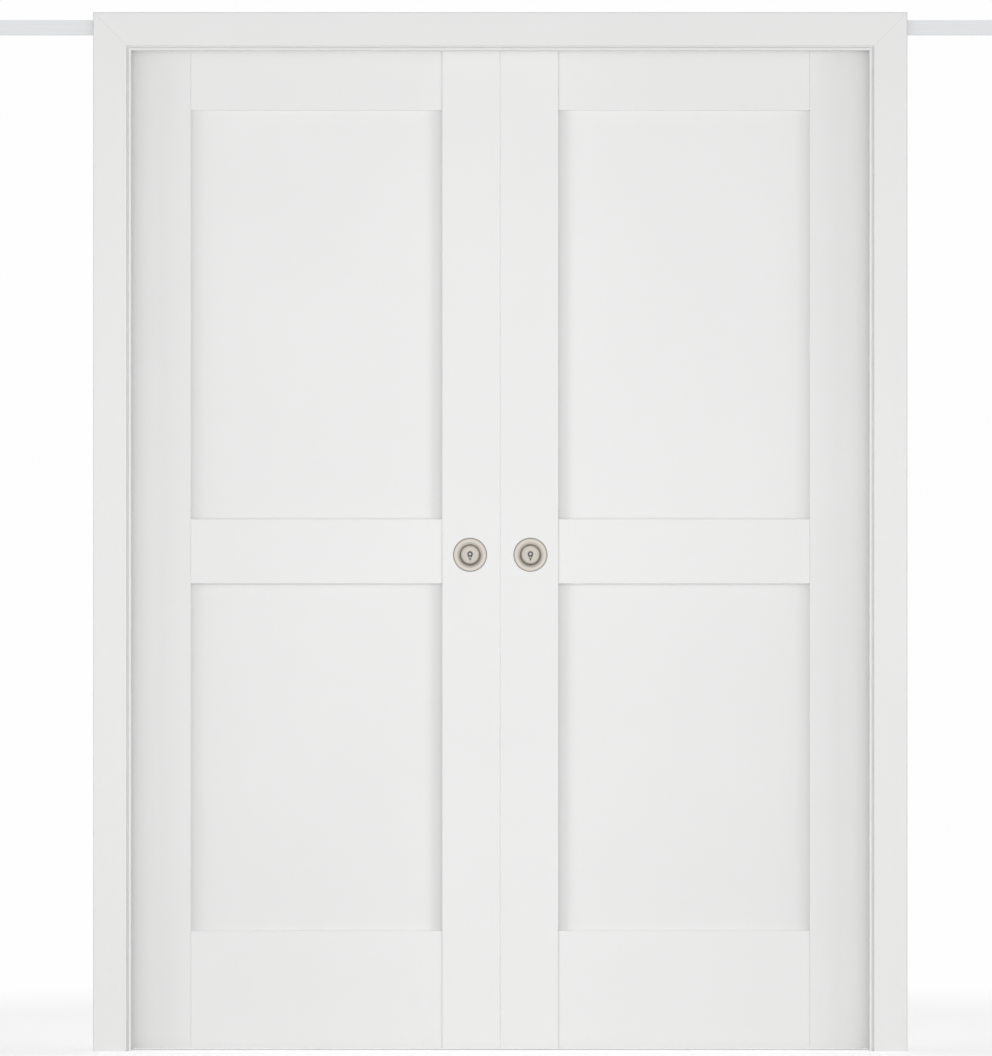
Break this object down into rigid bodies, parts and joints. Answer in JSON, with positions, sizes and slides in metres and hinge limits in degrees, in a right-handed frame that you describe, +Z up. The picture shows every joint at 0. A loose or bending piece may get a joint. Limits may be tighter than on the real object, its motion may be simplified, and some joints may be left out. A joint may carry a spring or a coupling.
{
  "type": "double pocket door",
  "caption": "Double pocket door: panelled doors that roll on a top rail into the wall, in a frame of split jambs and mitred casings, with round flush pulls and a hook lock.",
  "frame": {"origin": "on the floor, midway between the closed doors and midway in the wall", "axes": "+X to the right seen from the front, along the wall; +Y to the rear, through the wall; +Z up"},
  "size_m": [2.5694, 0.14, 2.0998],
  "materials": {
    "white_paint": "white satin paint",
    "plain_timber": "planed softwood",
    "rail_aluminium": "satin anodised",
    "zinc_steel": "bright zinc plated",
    "satin_nickel": "satin nickel",
    "wheel_nylon": "moulded nylon",
    "bumper_rubber": "matt",
    "guide_plastic": "moulded"
  },
  "bodies": {
    "frame": {"front_left_casing": "white_paint", "front_right_casing": "white_paint", "front_head_casing": "white_paint", "front_left_jamb": "white_paint", "front_right_jamb": "white_paint", "front_head_jamb": "white_paint", "front_head_nailer": "plain_timber", "rear_left_casing": "white_paint", "rear_right_casing": "white_paint", "rear_head_casing": "white_paint", "rear_left_jamb": "white_paint", "rear_right_jamb": "white_paint", "rear_head_jamb": "white_paint", "rear_head_nailer": "plain_timber", "left_track": "rail_aluminium", "right_track": "rail_aluminium", "track_stops": "zinc_steel", "stop_bumpers": "bumper_rubber", "floor_guides": "guide_plastic", "guide_screws": "zinc_steel", "frame_screws": "zinc_steel"},
    "left_door": {"left_pocket_stile": "white_paint", "left_meeting_stile": "white_paint", "left_top_rail": "white_paint", "left_lock_rail": "white_paint", "left_bottom_rail": "white_paint", "left_upper_panel": "white_paint", "left_lower_panel": "white_paint", "left_front_pull": "satin_nickel", "left_rear_pull": "satin_nickel", "left_keeper_case": "zinc_steel", "left_plate_screws": "zinc_steel", "left_hanger_plates": "zinc_steel", "left_hanger_screws": "zinc_steel", "left_pendant_bolts": "zinc_steel", "left_trolleys": "zinc_steel"},
    "right_door": {"right_pocket_stile": "white_paint", "right_meeting_stile": "white_paint", "right_top_rail": "white_paint", "right_lock_rail": "white_paint", "right_bottom_rail": "white_paint", "right_upper_panel": "white_paint", "right_lower_panel": "white_paint", "right_front_pull": "satin_nickel", "right_rear_pull": "satin_nickel", "right_lock_case": "zinc_steel", "right_plate_screws": "zinc_steel", "right_hanger_plates": "zinc_steel", "right_hanger_screws": "zinc_steel", "right_pendant_bolts": "zinc_steel", "right_trolleys": "zinc_steel"},
    "hook_bolt": {"right_hook_bolt": "zinc_steel"},
    "left_lead_inner_wheels": {"left_lead_inner_wheels": "wheel_nylon"},
    "left_lead_outer_wheels": {"left_lead_outer_wheels": "wheel_nylon"},
    "left_tail_inner_wheels": {"left_tail_inner_wheels": "wheel_nylon"},
    "left_tail_outer_wheels": {"left_tail_outer_wheels": "wheel_nylon"},
    "right_lead_inner_wheels": {"right_lead_inner_wheels": "wheel_nylon"},
    "right_lead_outer_wheels": {"right_lead_outer_wheels": "wheel_nylon"},
    "right_tail_inner_wheels": {"right_tail_inner_wheels": "wheel_nylon"},
    "right_tail_outer_wheels": {"right_tail_outer_wheels": "wheel_nylon"}
  },
  "joints": [
    {"name": "left_door_slide", "type": "slide", "parent": "frame", "child": "left_door", "axis": [-1, 0, 0], "range_m": [0, 0.64]},
    {"name": "right_door_slide", "type": "slide", "parent": "frame", "child": "right_door", "axis": [1, 0, 0], "range_m": [0, 0.64]},
    {"name": "hook_bolt_swing", "type": "hinge", "parent": "right_door", "child": "hook_bolt", "pos_m": [0.0182, 0, 1.016], "axis": [0, 1, 0], "range_deg": [0, 90]},
    {"name": "left_lead_inner_spin", "type": "hinge", "parent": "left_door", "child": "left_lead_inner_wheels", "pos_m": [-0.1702, 0, 2.0698], "axis": [0, 1, 0], "continuous": true},
    {"name": "left_lead_outer_spin", "type": "hinge", "parent": "left_door", "child": "left_lead_outer_wheels", "pos_m": [-0.2102, 0, 2.0698], "axis": [0, 1, 0], "continuous": true},
    {"name": "left_tail_inner_spin", "type": "hinge", "parent": "left_door", "child": "left_tail_inner_wheels", "pos_m": [-0.5522, 0, 2.0698], "axis": [0, 1, 0], "continuous": true},
    {"name": "left_tail_outer_spin", "type": "hinge", "parent": "left_door", "child": "left_tail_outer_wheels", "pos_m": [-0.5922, 0, 2.0698], "axis": [0, 1, 0], "continuous": true},
    {"name": "right_lead_inner_spin", "type": "hinge", "parent": "right_door", "child": "right_lead_inner_wheels", "pos_m": [0.1702, 0, 2.0698], "axis": [0, 1, 0], "continuous": true},
    {"name": "right_lead_outer_spin", "type": "hinge", "parent": "right_door", "child": "right_lead_outer_wheels", "pos_m": [0.2102, 0, 2.0698], "axis": [0, 1, 0], "continuous": true},
    {"name": "right_tail_inner_spin", "type": "hinge", "parent": "right_door", "child": "right_tail_inner_wheels", "pos_m": [0.5522, 0, 2.0698], "axis": [0, 1, 0], "continuous": true},
    {"name": "right_tail_outer_spin", "type": "hinge", "parent": "right_door", "child": "right_tail_outer_wheels", "pos_m": [0.5922, 0, 2.0698], "axis": [0, 1, 0], "continuous": true}
  ],
  "couplings": [
    {"joint": "left_lead_inner_spin", "follows": "left_door_slide", "rad_per_m": -100},
    {"joint": "left_lead_outer_spin", "follows": "left_door_slide", "rad_per_m": -100},
    {"joint": "left_tail_inner_spin", "follows": "left_door_slide", "rad_per_m": -100},
    {"joint": "left_tail_outer_spin", "follows": "left_door_slide", "rad_per_m": -100},
    {"joint": "right_lead_inner_spin", "follows": "right_door_slide", "rad_per_m": 100},
    {"joint": "right_lead_outer_spin", "follows": "right_door_slide", "rad_per_m": 100},
    {"joint": "right_tail_inner_spin", "follows": "right_door_slide", "rad_per_m": 100},
    {"joint": "right_tail_outer_spin", "follows": "right_door_slide", "rad_per_m": 100}
  ]
}
